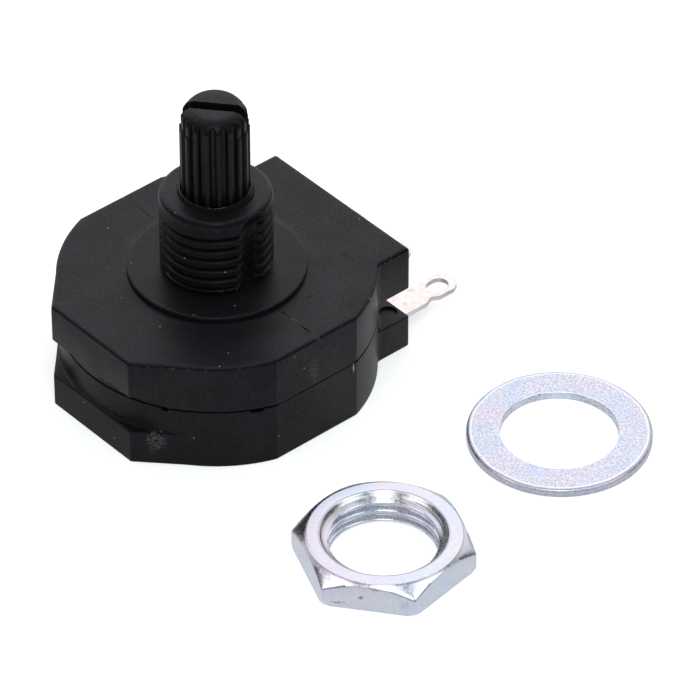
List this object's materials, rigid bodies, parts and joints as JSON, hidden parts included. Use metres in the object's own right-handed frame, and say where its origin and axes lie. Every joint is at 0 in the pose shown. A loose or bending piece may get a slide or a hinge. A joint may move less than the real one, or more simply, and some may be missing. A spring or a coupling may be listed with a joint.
{
  "type": "rotary potentiometer",
  "caption": "Panel-mount rotary potentiometer: moulded housing with a threaded bush, a splined shaft and solder terminals, with its loose nut and washer beside it.",
  "frame": {"origin": "on the shaft axis at the mounting face, which is the top of the raised boss round the bush", "axes": "+Z along the shaft towards the knob; +Y towards the solder terminals; +X towards the side flat seen at the front of the picture. The housing stands on a bench at z = -11.35 mm, and the nut and washer lie on that bench at +X."},
  "size_m": [0.0491, 0.0379, 0.028],
  "materials": {
    "cover_moulding": "glass-filled moulding compound, fine satin",
    "case_moulding": "glass-filled moulding compound, fine satin",
    "shaft_moulding": "black moulded resin, satin",
    "carrier_moulding": "natural resin",
    "spring_alloy": "rolled spring strip",
    "brush_carbon": "pressed carbon",
    "laminate": "paper laminate",
    "carbon_film": "printed carbon",
    "silver_film": "printed silver",
    "tinned_strip": "tin-plated strip, satin",
    "rivet_brass": "drawn brass",
    "zinc_nut": "bright zinc-plated steel",
    "zinc_washer": "satin zinc-plated steel"
  },
  "bodies": {
    "housing": {"top_cover": "cover_moulding", "bottom_case": "case_moulding", "element_wafer": "laminate", "resistive_track": "carbon_film", "electrode_left": "silver_film", "electrode_right": "silver_film", "collector_ring": "silver_film", "terminal_left": "tinned_strip", "terminal_centre": "tinned_strip", "terminal_right": "tinned_strip", "rivet_left": "rivet_brass", "rivet_centre": "rivet_brass", "rivet_right": "rivet_brass", "hex_nut": "zinc_nut", "flat_washer": "zinc_washer"},
    "spindle": {"shaft": "shaft_moulding", "contact_carrier": "carrier_moulding", "wiper_spring": "spring_alloy", "track_brush": "brush_carbon", "collector_brush": "brush_carbon"}
  },
  "joints": [
    {"name": "shaft_turn", "type": "hinge", "parent": "housing", "child": "spindle", "pos_m": [0, 0, 0], "axis": [0, 0, 1], "range_deg": [-100.4, 199.6]}
  ]
}
